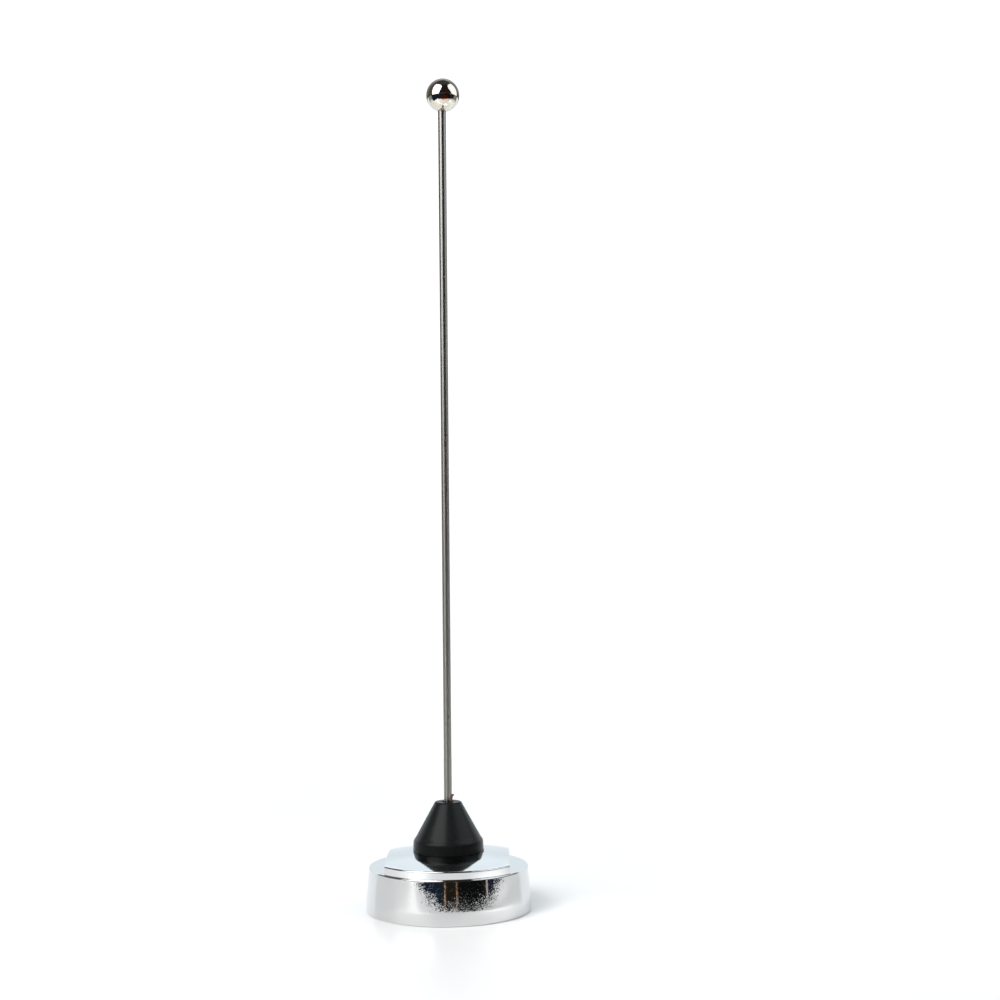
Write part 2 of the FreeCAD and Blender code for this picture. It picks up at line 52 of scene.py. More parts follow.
# ----------------------------------------------------------------- node help
class Net:
    """Short calls for building a node tree."""

    def __init__(self, tree):
        self.tree = tree
        self.nodes = tree.nodes
        self.links = tree.links

    def put(self, socket, value):
        if isinstance(value, bpy.types.NodeSocket):
            self.links.new(value, socket)
        elif value is not None:
            if hasattr(socket.default_value, "__len__") and not hasattr(value, "__len__"):
                value = [value] * len(socket.default_value)
            socket.default_value = value

    def add(self, kind, **settings):
        node = self.nodes.new(kind)
        for key, value in settings.items():
            setattr(node, key, value)
        return node

    def math(self, op, a, b=None, c=None, clamp=False):
        n = self.add("ShaderNodeMath", operation=op, use_clamp=clamp)
        self.put(n.inputs[0], a)
        if b is not None:
            self.put(n.inputs[1], b)
        if c is not None:
            self.put(n.inputs[2], c)
        return n.outputs[0]

    def vmath(self, op, a, b=None, out=0):
        n = self.add("ShaderNodeVectorMath", operation=op)
        self.put(n.inputs[0], a)
        if b is not None:
            self.put(n.inputs[1], b)
        return n.outputs[out]

    def step(self, x, a, b, lo=0.0, hi=1.0):
        """Smooth step of x from lo at a to hi at b."""
        n = self.add("ShaderNodeMapRange", interpolation_type="SMOOTHSTEP")
        self.put(n.inputs["Value"], x)
        n.inputs["From Min"].default_value = a
        n.inputs["From Max"].default_value = b
        n.inputs["To Min"].default_value = lo
        n.inputs["To Max"].default_value = hi
        return n.outputs["Result"]

    def band(self, x, a, b, soft_a, soft_b=None):
        """1 between a and b, falling smoothly to 0 outside."""
        soft_b = soft_a if soft_b is None else soft_b
        up = self.step(x, a - soft_a / 2, a + soft_a / 2)
        down = self.step(x, b - soft_b / 2, b + soft_b / 2, 1.0, 0.0)
        return self.math("MULTIPLY", up, down)

    def mix(self, factor, a, b):
        n = self.add("ShaderNodeMix", data_type="RGBA")
        self.put(n.inputs[0], factor)
        self.put(n.inputs[6], colour(a))
        self.put(n.inputs[7], colour(b))
        return n.outputs[2]

    def noise(self, where, scale, detail=2.0, rough=0.5, distort=0.0):
        n = self.add("ShaderNodeTexNoise")
        self.put(n.inputs["Vector"], where)
        n.inputs["Scale"].default_value = scale
        n.inputs["Detail"].default_value = detail
        n.inputs["Roughness"].default_value = rough
        n.inputs["Distortion"].default_value = distort
        return n.outputs["Fac"]

    def cells(self, where, scale, feature="F1"):
        n = self.add("ShaderNodeTexVoronoi", feature=feature)
        self.put(n.inputs["Vector"], where)
        n.inputs["Scale"].default_value = scale
        return n.outputs["Distance"]

    def place(self, scale=(1, 1, 1)):
        """The piece's own coordinates, in metres, stretched by scale."""
        t = self.add("ShaderNodeTexCoord").outputs["Object"]
        if tuple(scale) == (1, 1, 1):
            return t
        m = self.add("ShaderNodeMapping")
        self.put(m.inputs["Vector"], t)
        m.inputs["Scale"].default_value = scale
        return m.outputs["Vector"]

    def round_z(self, around, up):
        """Coordinates that run round the axis, out from it and along it: angle times
        around, radius, height times up."""
        s = self.add("ShaderNodeSeparateXYZ")
        self.put(s.inputs[0], self.place())
        ang = self.math("ARCTAN2", s.outputs[1], s.outputs[0])
        rad = self.math("SQRT", self.math("ADD", self.math("MULTIPLY", s.outputs[0], s.outputs[0]), self.math("MULTIPLY", s.outputs[1], s.outputs[1])))
        c = self.add("ShaderNodeCombineXYZ")
        self.put(c.inputs[0], self.math("MULTIPLY", self.math("COSINE", ang), around))
        self.put(c.inputs[1], self.math("MULTIPLY", self.math("SINE", ang), around))
        self.put(c.inputs[2], self.math("MULTIPLY", s.outputs[2], up))
        return c.outputs[0], rad, s.outputs[2]

    def bump(self, height, distance, strength=1.0, under=None):
        n = self.add("ShaderNodeBump")
        self.put(n.inputs["Height"], height)
        n.inputs["Distance"].default_value = distance
        n.inputs["Strength"].default_value = strength
        if under is not None:
            self.put(n.inputs["Normal"], under)
        return n.outputs["Normal"]


def colour(c):
    if isinstance(c, bpy.types.NodeSocket):
        return c
    return tuple(c) + (1.0,) if len(c) == 3 else tuple(c)


def material(name):
    m = bpy.data.materials.new(name)
    m.use_nodes = True
    net = Net(m.node_tree)
    shader = m.node_tree.nodes["Principled BSDF"]
    return m, net, shader


# ----------------------------------------------------------------- materials
def make_chrome():
    """Bright chrome over a turned casting: a mirror with orange peel, fine pits and haze."""
    m, n, s = material("chrome_plate")
    at = n.place()
    turn, rad, height = n.round_z(0.02, 1.0)
    pits = n.step(n.noise(at, 5200, 1.0, 0.5), 0.70, 0.78)
    haze = n.step(n.noise(at, 130, 3.0, 0.6), 0.45, 0.72)
    bore = n.math("MULTIPLY", n.step(rad, 0.0150, 0.0156, 1.0, 0.0), n.step(height, 0.0122, 0.0128, 1.0, 0.0))
    recess = n.math("MULTIPLY", n.step(rad, 0.0192, 0.0196, 1.0, 0.0), n.step(height, 0.0020, 0.0026, 1.0, 0.0))
    inside = n.math("MAXIMUM", bore, recess)
    tone = n.mix(pits, (0.715, 0.727, 0.727), (0.51, 0.52, 0.53))
    tone = n.mix(haze, tone, (0.690, 0.702, 0.702))
    # painted highlight: the boss's side wall gets a brighter chrome tone than the rest, so it mirrors the sheet in
    # front more brightly
    wall = n.math("MULTIPLY", n.band(rad, 0.0175, 0.0206, 0.0005), n.band(height, 0.01135, 0.0135, 0.0002))
    tone = n.mix(wall, tone, (0.79, 0.80, 0.81))
    tone = n.mix(inside, tone, (0.50, 0.50, 0.49))
    n.put(s.inputs["Base Color"], tone)
    s.inputs["Metallic"].default_value = 1.0
    r = n.math("ADD", 0.020, n.math("MULTIPLY", haze, 0.030))
    r = n.math("ADD", r, n.math("MULTIPLY", pits, 0.06))
    r = n.math("ADD", r, n.math("MULTIPLY", inside, 0.16))
    n.put(s.inputs["Roughness"], r)
    peel = n.noise(n.place((4600, 4600, 2600)), 1.0, 1.0, 0.5)
    depth = n.step(n.noise(at, 700, 2.0, 0.6), 0.35, 0.65, 0.25, 1.0)
    grit = n.add("ShaderNodeTexVoronoi")
    n.put(grit.inputs["Vector"], n.place((4100, 4100, 3700)))
    grit.inputs["Scale"].default_value = 1.0
    lean = n.add("ShaderNodeVectorMath", operation="SUBTRACT")
    n.put(lean.inputs[0], grit.outputs["Color"])
    lean.inputs[1].default_value = (0.5, 0.5, 0.5)
    tilt = n.add("ShaderNodeVectorMath", operation="SCALE")
    n.put(tilt.inputs[0], lean.outputs[0])
    n.put(tilt.inputs["Scale"], n.math("MULTIPLY", depth, 0.0195))
    facing = n.add("ShaderNodeVectorMath", operation="ADD")
    n.put(facing.inputs[0], n.add("ShaderNodeNewGeometry").outputs["Normal"])
    n.put(facing.inputs[1], tilt.outputs[0])
    even = n.add("ShaderNodeVectorMath", operation="NORMALIZE")
    n.put(even.inputs[0], facing.outputs[0])
    wave = n.noise(at, 240, 1.0, 0.5)
    b = n.bump(peel, 0.0000030, 1.0, even.outputs[0])
    b = n.bump(wave, 0.000003, 1.0, b)
    b = n.bump(n.math("SUBTRACT", 1.0, pits), 0.0000012, 1.0, b)
    n.put(s.inputs["Normal"], b)
    return m


def make_black_plastic():
    """Satin moulded black plastic with a fine grain, a little dust and rub marks."""
    m, n, s = material("black_plastic")
    at = n.place()
    cloud = n.noise(at, 260, 4.0, 0.6)
    grain = n.noise(at, 7500, 2.0, 0.6)
    rub = n.step(n.noise(n.place((900, 900, 160)), 1.0, 3.0, 0.65), 0.62, 0.76)
    dust = n.step(n.cells(at, 900), 0.06, 0.02)
    tone = n.mix(cloud, (0.0065, 0.0082, 0.0078), (0.0110, 0.0130, 0.0125))
    tone = n.mix(n.math("MULTIPLY", rub, 0.30), tone, (0.022, 0.024, 0.023))
    tone = n.mix(n.math("MULTIPLY", dust, 0.20), tone, (0.10, 0.10, 0.095))
    n.put(s.inputs["Base Color"], tone)
    turn, rad, height = n.round_z(0.02, 1.0)
    # painted shade: the cone's low band, from its foot to the crease, gets a darker tone and less specular than the
    # rest, for the shade it stands in
    band = n.band(height, 0.0128, 0.0173, 0.0006)
    tone = n.mix(band, tone, (0.0052, 0.0062, 0.0058))
    n.put(s.inputs["Base Color"], tone)
    r = n.math("ADD", 0.23, n.math("MULTIPLY", cloud, 0.10))
    r = n.math("SUBTRACT", r, n.math("MULTIPLY", rub, 0.04))
    n.put(s.inputs["Roughness"], r)
    dull = n.math("MULTIPLY", n.step(height, 0.02722, 0.02755), 0.115)
    dull = n.math("ADD", dull, n.math("MULTIPLY", band, 0.045))
    n.put(s.inputs["Specular IOR Level"], n.math("SUBTRACT", 0.145, dull))
    b = n.bump(grain, 0.0000035, 1.0)
    b = n.bump(n.noise(at, 420, 2.0, 0.5), 0.00002, 1.0, b)
    n.put(s.inputs["Normal"], b)
    return m


def make_stainless():
    """Ground stainless rod: fine scratches round the rod, which stretch what it mirrors
    along its length, with faint ripples, stains and a warm tint."""
    m, n, s = material("stainless")
    rings = n.noise(n.place((900, 900, 16000)), 1.0, 3.0, 0.6)
    patch = n.noise(n.place((500, 500, 60)), 1.0, 3.0, 0.6)
    specks = n.step(n.noise(n.place(), 4200, 1.0, 0.5), 0.74, 0.82)
    tone = n.mix(patch, (0.310, 0.300, 0.280), (0.360, 0.350, 0.328))
    tone = n.mix(n.math("MULTIPLY", specks, 0.35), tone, (0.19, 0.18, 0.16))
    n.put(s.inputs["Base Color"], tone)
    s.inputs["Metallic"].default_value = 1.0
    r = n.math("ADD", 0.245, n.math("MULTIPLY", patch, 0.07))
    n.put(s.inputs["Roughness"], r)
    s.inputs["Anisotropic"].default_value = 0.96
    s.inputs["Anisotropic Rotation"].default_value = 0.25
    t = n.add("ShaderNodeTangent", direction_type="RADIAL", axis="Z")
    n.put(s.inputs["Tangent"], t.outputs[0])
    b = n.bump(rings, 0.0000008, 1.0)
    b = n.bump(patch, 0.000004, 1.0, b)
    n.put(s.inputs["Normal"], b)
    return m


def make_polished():
    """Polished steel ball: a near mirror with hairline scratches and a few pits."""
    m, n, s = material("polished_steel")
    at = n.place()
    pits = n.step(n.noise(at, 4600, 1.0, 0.5), 0.74, 0.82)
    hair = n.step(n.noise(n.place((700, 5200, 2600)), 1.0, 2.0, 0.6, 0.6), 0.66, 0.74)
    haze = n.noise(at, 320, 3.0, 0.6)
    tone = n.mix(haze, (0.715, 0.665, 0.580), (0.755, 0.710, 0.625))
    tone = n.mix(n.math("MULTIPLY", pits, 0.5), tone, (0.36, 0.33, 0.29))
    n.put(s.inputs["Base Color"], tone)
    s.inputs["Metallic"].default_value = 1.0
    r = n.math("ADD", 0.025, n.math("MULTIPLY", haze, 0.03))
    r = n.math("ADD", r, n.math("MULTIPLY", hair, 0.04))
    n.put(s.inputs["Roughness"], r)
    b = n.bump(n.noise(at, 1500, 1.0, 0.5), 0.0000030, 1.0)
    b = n.bump(hair, 0.0000006, 1.0, b)
    n.put(s.inputs["Normal"], b)
    return m


def make_turned(name, light, dark, rough, ring_scale=9000):
    """A turned metal part: rings round the axis, tarnish in patches."""
    m, n, s = material(name)
    at = n.place()
    around, rad, height = n.round_z(0.0004, 1.0)
    c = n.add("ShaderNodeCombineXYZ")
    n.put(c.inputs[0], rad)
    n.put(c.inputs[1], height)
    rings = n.noise(c.outputs[0], ring_scale, 2.0, 0.6)
    patch = n.noise(at, 520, 4.0, 0.65)
    tone = n.mix(n.step(patch, 0.35, 0.70), light, dark)
    n.put(s.inputs["Base Color"], tone)
    s.inputs["Metallic"].default_value = 1.0
    r = n.math("ADD", rough, n.math("MULTIPLY", patch, 0.18))
    n.put(s.inputs["Roughness"], r)
    b = n.bump(rings, 0.000004, 1.0)
    b = n.bump(n.noise(at, 3000, 2.0, 0.5), 0.0000015, 1.0, b)
    n.put(s.inputs["Normal"], b)
    return m


def make_rubber(name):
    """Matt black moulded rubber with a dusty bloom."""
    m, n, s = material(name)
    at = n.place()
    bloom = n.step(n.noise(at, 210, 4.0, 0.65), 0.42, 0.75)
    tone = n.mix(bloom, (0.013, 0.013, 0.0135), (0.036, 0.036, 0.035))
    n.put(s.inputs["Base Color"], tone)
    r = n.math("ADD", 0.58, n.math("MULTIPLY", bloom, 0.22))
    n.put(s.inputs["Roughness"], r)
    s.inputs["Specular IOR Level"].default_value = 0.35
    b = n.bump(n.noise(at, 4200, 3.0, 0.6), 0.000010, 1.0)
    b = n.bump(n.noise(at, 420, 2.0, 0.5), 0.00004, 1.0, b)
    n.put(s.inputs["Normal"], b)
    return m


def make_white_plastic():
    """Natural white moulded plastic, a little yellowed, with flow marks."""
    m, n, s = material("white_plastic")
    at = n.place()
    flow = n.noise(n.place((260, 260, 900)), 1.0, 3.0, 0.6, 1.2)
    grime = n.step(n.noise(at, 420, 4.0, 0.65), 0.55, 0.80)
    tone = n.mix(flow, (0.70, 0.68, 0.62), (0.80, 0.785, 0.74))
    tone = n.mix(n.math("MULTIPLY", grime, 0.35), tone, (0.45, 0.42, 0.37))
    n.put(s.inputs["Base Color"], tone)
    r = n.math("ADD", 0.34, n.math("MULTIPLY", flow, 0.16))
    n.put(s.inputs["Roughness"], r)
    b = n.bump(n.noise(at, 2600, 3.0, 0.6), 0.000012, 1.0)
    b = n.bump(n.cells(n.place((1, 1, 0.01)), 1200), 0.000006, 0.5, b)
    n.put(s.inputs["Normal"], b)
    return m


def make_adhesive():
    """A trace of dried amber adhesive."""
    m, n, s = material("adhesive")
    at = n.place()
    cloud = n.noise(at, 2600, 3.0, 0.6)
    tone = n.mix(cloud, (0.060, 0.020, 0.014), (0.20, 0.085, 0.055))
    n.put(s.inputs["Base Color"], tone)
    r = n.math("ADD", 0.22, n.math("MULTIPLY", cloud, 0.2))
    n.put(s.inputs["Roughness"], r)
    n.put(s.inputs["Normal"], n.bump(n.noise(at, 5200, 2.0, 0.5), 0.00002, 1.0))
    return m


CHROME = make_chrome()
PLASTIC = make_black_plastic()
STAINLESS = make_stainless()
POLISHED = make_polished()
BRASS = make_turned("brass", (0.72, 0.53, 0.25), (0.50, 0.34, 0.15), 0.20)
GOLD = make_turned("gold_plate", (0.86, 0.64, 0.28), (0.74, 0.52, 0.20), 0.10, 6000)
NICKEL = make_turned("plated_steel", (0.62, 0.60, 0.56), (0.46, 0.44, 0.41), 0.22)
BLACK_STEEL = make_turned("black_steel", (0.060, 0.060, 0.064), (0.030, 0.030, 0.033), 0.32)
SPRING_STEEL = make_turned("spring_steel", (0.52, 0.50, 0.47), (0.40, 0.38, 0.35), 0.24, 4000)
RUBBER = make_rubber("ring_rubber")
SEAL_RUBBER = make_rubber("seal_rubber")
WHITE = make_white_plastic()
ADHESIVE = make_adhesive()


# ------------------------------------------------------------------ geometry
def grid_piece(name, rings, mat, closed=False, sharp=40.0, turn=True):
    """A piece from rings of points (rings, columns, 3) in millimetres. Neighbouring
    rings are joined; closed joins the last ring to the first. A ring with all its
    points in one place closes to a point."""
    rings = np.asarray(rings, float) * MM
    count, cols = rings.shape[0], rings.shape[1]
    verts = rings.reshape(-1, 3)
    faces = []
    last = count if closed else count - 1
    for i in range(last):
        a, b = i * cols, ((i + 1) % count) * cols
        for j in range(cols):
            k = (j + 1) % cols
            faces.append((a + j, a + k, b + k, b + j))
    me = bpy.data.meshes.new(name)
    me.from_pydata([tuple(v) for v in verts], [], faces)
    bm = bmesh.new()
    bm.from_mesh(me)
    bmesh.ops.remove_doubles(bm, verts=bm.verts, dist=2e-7)
    bmesh.ops.dissolve_degenerate(bm, edges=bm.edges, dist=1e-8)
    bmesh.ops.recalc_face_normals(bm, faces=bm.faces)
    for f in bm.faces:
        f.smooth = True
    bm.to_mesh(me)
    bm.free()
    me.set_sharp_from_angle(angle=math.radians(sharp))
    me.materials.append(mat)
    ob = bpy.data.objects.new(name, me)
    SCENE.collection.objects.link(ob)
    return ob


def circle_rings(profile, thetas):
    """Rings for a plain turned profile of (radius, height)."""
    c, s = np.cos(thetas), np.sin(thetas)
    return np.array([np.stack([r * c, r * s, np.full_like(c, z)], axis=1) for r, z in profile])


def arc(x0, y0, r, a0, a1, n, skip_first=False):
    """Points on an arc about (x0, y0), from angle a0 to a1 in degrees."""
    out = []
    for i in range(1 if skip_first else 0, n + 1):
        a = math.radians(a0 + (a1 - a0) * i / n)
        out.append((x0 + r * math.cos(a), y0 + r * math.sin(a)))
    return out


def lathe(name, profile, mat, cols=128, closed=False, sharp=40.0):
    thetas = np.linspace(0, TAU, cols, endpoint=False)
    return grid_piece(name, circle_rings(profile, thetas), mat, closed, sharp)


def ride(piece, body, slot, *nodes):
    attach(piece, body)
    if nodes:
        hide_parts(*nodes)
    return piece


# ---- the base nut: one closed skin, outside, top, inside and thread
FLAT = 15.875
RIM_R = 21.37
SKIRT_BEND = 11.6
SKIRT_LOW_R, SKIRT_LOW_Z = 21.316, 3.708
SKIRT_R = 20.62
BOSS_R = 20.2
LEDGE_Z = 11.28
BOSS_Z = 13.32
SEAT_R, SEAT_Z = 9.2, 14.97
DOME_R = 98.6


def dome_z(r):
    """Height of the domed top at radius r, on the arc from the boss's edge to the seat."""
    # the arc's centre, from its two ends
    ax, ay, bx, by = BOSS_R, BOSS_Z, SEAT_R, SEAT_Z
    mx, my = (ax + bx) / 2, (ay + by) / 2
    dx, dy = bx - ax, by - ay
    d = math.hypot(dx, dy)
    off = math.sqrt(DOME_R ** 2 - d * d / 4)
    cx, cy = mx - dy / d * off * 1.0, my + dx / d * off * 1.0
    if cy > my:
        cx, cy = mx + dy / d * off, my - dx / d * off
    return cy + np.sqrt(DOME_R ** 2 - (np.asarray(r, float) - cx) ** 2)


def boss_outline(thetas, rounding=0.35):
    """The boss's plan outline, a disc cut by the two flats with small rounded corners,
    met by a ray at each angle. Returns the points and their outward normals."""
    pts, nrm = [], []
    # rounded corner: a circle of the rounding's radius touching the flat and the disc
    k = rounding
    cx = FLAT - k
    cy = math.sqrt((BOSS_R - k) ** 2 - cx ** 2)
    a_disc = math.atan2(cy, cx)
    for t in thetas:
        c, s = abs(math.cos(t)), abs(math.sin(t))
        sx, sy = (1 if math.cos(t) >= 0 else -1), (1 if math.sin(t) >= 0 else -1)
        if s * FLAT <= cy * c:
            p, q = (FLAT, FLAT * s / max(c, 1e-9)), (1.0, 0.0)
        elif math.atan2(s, c) >= a_disc:
            p, q = (BOSS_R * c, BOSS_R * s), (c, s)
        else:
            b = c * cx + s * cy
            d = b + math.sqrt(max(b * b - (cx * cx + cy * cy - k * k), 0.0))
            p = (d * c, d * s)
            q = ((p[0] - cx) / k, (p[1] - cy) / k)
        pts.append((p[0] * sx, p[1] * sy))
        nrm.append((q[0] * sx, q[1] * sy))
    return np.array(pts), np.array(nrm)


def make_base():
    corner = math.acos(FLAT / BOSS_R)
    base = np.linspace(0, TAU, 300, endpoint=False)
    extra = []
    for c in (corner, math.pi - corner, math.pi + corner, TAU - corner):
        extra += list(np.linspace(c - 0.035, c + 0.035, 17))
    thetas = np.unique(np.round(np.concatenate([base, np.array(extra) % TAU]), 5))
    c, s = np.cos(thetas), np.sin(thetas)
    rings = []

    def plain(r, z):
        rings.append(np.stack([r * c, r * s, np.full_like(c, z)], axis=1))

    # recess wall, bottom rim and the rounding of its outer edge
    for r, z in [(19.6, 1.6), (19.6, 1.45), (19.6, 0.9), (19.6, 0.2), (19.64, 0.08), (19.74, 0.0), (19.9, 0.0), (20.4, 0.0), (RIM_R - 0.40, 0.0)]:
        plain(r, z)
    for r, z in arc(RIM_R - 0.32, 0.32, 0.32, -90, 0, 8):
        plain(r, z)
    for z in (0.40, 0.7, 1.0, 1.5, 2.0, 2.4):
        plain(RIM_R, z)
    # the bend between the lower band and the conical skirt
    for r, z in arc(RIM_R - SKIRT_BEND, 2.6, SKIRT_BEND, 0, math.degrees(math.asin((SKIRT_LOW_Z - 2.6) / SKIRT_BEND)), 9):
        plain(r, z)
    r0, z0 = SKIRT_LOW_R, SKIRT_LOW_Z
    r1, z1 = SKIRT_R + 0.0057, LEDGE_Z - 0.36
    for f in [i / 14 for i in range(1, 14)] + [0.965, 0.99]:
        plain(r0 + (r1 - r0) * f, z0 + (z1 - z0) * f)
    # rounding of the ledge's edge, which starts along the skirt
    for r, z in arc(SKIRT_R - 0.354, LEDGE_Z - 0.36, 0.36, 5.5, 90, 10):
        plain(r, z)
    # ledge, then the boss's foot, wall and rounded upper edge
    pts, nrm = boss_outline(thetas)
    edge = np.stack([(SKIRT_R - 0.354) * c, (SKIRT_R - 0.354) * s], axis=1)
    foot = pts + nrm * 0.10
    for f in (0.06, 0.3, 0.6, 0.85):
        q = edge + (foot - edge) * f
        rings.append(np.column_stack([q, np.full(len(q), LEDGE_Z)]))
    for a in (0, 30, 60, 90):
        d = 0.10 * (1 - math.sin(math.radians(a)))
        z = LEDGE_Z + 0.10 * (1 - math.cos(math.radians(a)))
        q = pts + nrm * d
        rings.append(np.column_stack([q, np.full(len(q), z)]))
    top = dome_z(np.hypot(pts[:, 0], pts[:, 1]))
    rnd = 0.28
    for f in (0.08, 0.35, 0.7, 0.94):
        z = (LEDGE_Z + 0.10) + (top - rnd - LEDGE_Z - 0.10) * f
        rings.append(np.column_stack([pts, z]))
    for a in (0, 15, 30, 45, 60, 74):
        q = pts - nrm * rnd * (1 - math.cos(math.radians(a)))
        z = dome_z(np.hypot(q[:, 0], q[:, 1])) - rnd + rnd * math.sin(math.radians(a)) + (0.004 if a > 50 else 0)
        rings.append(np.column_stack([q, z]))
    inner = pts - nrm * 0.28
    seat = np.stack([SEAT_R * c, SEAT_R * s], axis=1)
    for f in [0.0, 0.015, 0.05, 0.12, 0.2, 0.3, 0.4, 0.5, 0.6, 0.7, 0.8, 0.9, 0.97, 1.0]:
        q = inner + (seat - inner) * f
        rings.append(np.column_stack([q, dome_z(np.hypot(q[:, 0], q[:, 1]))]))
    # seat, hole through the web, pocket and thread relief
    for r, z in [(9.0, SEAT_Z), (7.8, SEAT_Z), (6.6, SEAT_Z), (6.5, SEAT_Z - 0.1), (6.5, 13.2), (6.5, 11.7), (6.6, 11.6),
                 (9.0, 11.6), (12.0, 11.6), (13.7, 11.6), (13.8, 11.5), (13.8, 10.2), (13.8, 8.7), (13.9, 8.6),
                 (14.8, 8.6), (14.9, 8.5), (14.9, 8.0), (14.9, 7.55)]:
        plain(r, z)
    # internal thread, 18 turns to the inch, which runs out at both ends
    pitch = 25.4 / 18
    rows = 58
    z_hi, z_lo = 7.45, 1.85
    for i in range(rows + 1):
        z = z_hi + (z_lo - z_hi) * i / rows
        phase = (z / pitch - thetas / TAU) % 1.0
        tooth = np.clip((0.5 - np.abs(phase - 0.5)) * 2.35 - 0.12, 0.0, 1.0)
        ease = min(1.0, max(0.0, (7.30 - z) / 0.75)) * min(1.0, max(0.0, (z - 2.0) / 0.55))
        r = 14.3 - 0.74 * tooth * ease
        if z < 2.2:
            r = np.maximum(r, 14.3 + (2.2 - z))
        rings.append(np.stack([r * c, r * s, np.full_like(c, z)], axis=1))
    for r, z in [(14.9, 1.6), (15.1, 1.6), (17.0, 1.6), (19.4, 1.6)]:
        plain(r, z)
    ob = grid_piece("base_nut", rings, CHROME, closed=True, sharp=42)
    return ride(ob, "antenna", "chrome_plate", "base_housing")


base = make_base()


# ---- the insulator cone, with the clamp screw's hole at the back
def make_cone():
    p = []
    p += arc(9.12 - 0.12, SEAT_Z + 0.12, 0.12, -90, 0, 4)
    p += [(9.118, SEAT_Z + 0.2), (9.108, 15.4), (9.09, 16.0), (9.075, 16.6), (9.06, 17.1)]
    # the crease
    a = (9.05, 17.45)
    b = (8.50, 18.45)
    for i in range(1, 8):
        f = i / 8
        q = (1 - f) ** 2, 2 * f * (1 - f), f * f
        knee = (8.93, 18.03)
        p.append((q[0] * a[0] + q[1] * knee[0] + q[2] * b[0], q[0] * a[1] + q[1] * knee[1] + q[2] * b[1]))
    r0, z0, r1, z1 = 8.50, 18.45, 3.50, 27.45
    for i in range(0, 17):
        f = i / 16
        p.append((r0 + (r1 - r0) * f, z0 + (z1 - z0) * f))
    p += arc(3.14, 27.27, 0.40, 32, 90, 6)
    p += [(3.0, 27.67), (2.4, 27.67), (1.75, 27.67)]
    p += arc(1.65, 27.52, 0.15, 90, 180, 4)
    p += [(1.5, 26.6), (1.5, 25.6), (1.5, 25.42), (3.52, 25.42), (3.52, 21.0), (3.52, 16.38), (2.97, 16.38), (2.97, 14.62),
          (3.52, 14.62), (3.52, 12.9), (6.3, 12.9), (6.3, SEAT_Z), (7.0, SEAT_Z), (7.0, SEAT_Z + 1.0), (8.2, SEAT_Z + 1.0),
          (8.2, SEAT_Z)]
    cols = 180
    thetas = np.linspace(0, TAU, cols, endpoint=False)
    rings = circle_rings(p, thetas)
    # the moulding: very slightly out of round low down, a flash line each side and a
    # nib of flash at the foot on the right
    for i, (r, z) in enumerate(p):
        if i < 45 and r > 3.3:
            low = max(0.0, min(1.0, (18.5 - z) / 3.0))
            swell = 0.015 * low * np.cos(2 * (thetas - 0.5))
            seam = 0.035 * (np.exp(-((thetas - math.radians(8)) / 0.012) ** 2) + np.exp(-((thetas - math.radians(188)) / 0.012) ** 2))
            nib = 0.26 * math.exp(-((z - 15.22) / 0.14) ** 2) * np.exp(-((thetas - math.radians(355)) / 0.05) ** 2)
            nib2 = 0.26 * math.exp(-((z - 15.22) / 0.14) ** 2) * np.exp(-((thetas - TAU + math.radians(5)) / 0.05) ** 2) * 0
            k = (r + swell + seam + nib + nib2) / r
            rings[i, :, 0] *= k
            rings[i, :, 1] *= k
    ob = grid_piece("cone_body", rings, PLASTIC, closed=True, sharp=35)
    cut = lathe("cutter", [(0, 0), (1.5, 0), (1.65, 0.0), (1.65, 2.9), (1.67, 3.1), (1.67, 9.0), (0, 9.0)], PLASTIC, 48)
    cut.data.transform(Matrix.Translation((0, 0.8 * MM, 21.4 * MM)) @ Matrix.Rotation(-math.pi / 2, 4, "X"))
    mod = ob.modifiers.new("hole", "BOOLEAN")
    mod.operation = "DIFFERENCE"
    mod.solver = "EXACT"
    mod.object = cut
    bpy.context.view_layer.update()
    dg = bpy.context.evaluated_depsgraph_get()
    me = bpy.data.meshes.new_from_object(ob.evaluated_get(dg))
    ob.modifiers.clear()
    ob.data = me
    bpy.data.objects.remove(cut)
    me.set_sharp_from_angle(angle=math.radians(35))
    return ride(ob, "antenna", "black_plastic", "insulator_cone")


cone = make_cone()


# ---- the rod
def make_rod():
    top = 212.10 + 1.2
    p = [(0, 18.3), (0.84, 18.3), (1.04, 18.5)]
    z = 20.0
    while z < top - 0.6:
        p.append((1.04, z))
        z += 4.0
    p += [(1.04, top - 0.2), (0.84, top), (0, top)]
    ob = lathe("rod", p, STAINLESS, 72)
    return ride(ob, "antenna", "stainless", "whip_rod")


rod = make_rod()


# ---- the ball, bored a little off its middle
def make_ball():
    R, off, bore = 4.36, 0.25, 1.06
    cols = 128
    t = np.linspace(0, TAU, cols, endpoint=False)
    c, s = np.cos(t), np.sin(t)
    rings = []

    def disc(rad, shift, z):
        rings.append(np.stack([rad * c + shift, rad * s, np.full_like(c, z)], axis=1))

    disc(0.0, -off, 1.25)
    disc(bore, -off, 1.25)
    disc(bore, -off, 0.0)
    disc(bore, -off, -3.9)
    for rad, dz in ((bore, 0.10), (bore + 0.03, 0.04), (bore + 0.10, 0.004)):
        x, y = rad * c - off, rad * s
        rings.append(np.stack([x, y, -np.sqrt(R * R - x * x - y * y) + dz], axis=1))
    start = math.asin((bore + 0.16) / R)
    for i in range(0, 66):
        f = i / 65
        a = start + (math.pi - start) * f
        shift = -off * max(0.0, 1 - f * 4.0) ** 2
        x, y = R * math.sin(a) * c + shift, R * math.sin(a) * s
        if a < 1.2:
            z = -np.sqrt(R * R - x * x - y * y)
        else:
            z = np.full_like(c, -R * math.cos(a))
        rings.append(np.stack([x, y, z], axis=1))
    rings = np.array(rings) + np.array([off, 0, 212.10])
    ob = grid_piece("ball", rings, POLISHED, closed=False, sharp=50)
    return ride(ob, "antenna", "polished_steel", "ball_tip")


ball = make_ball()
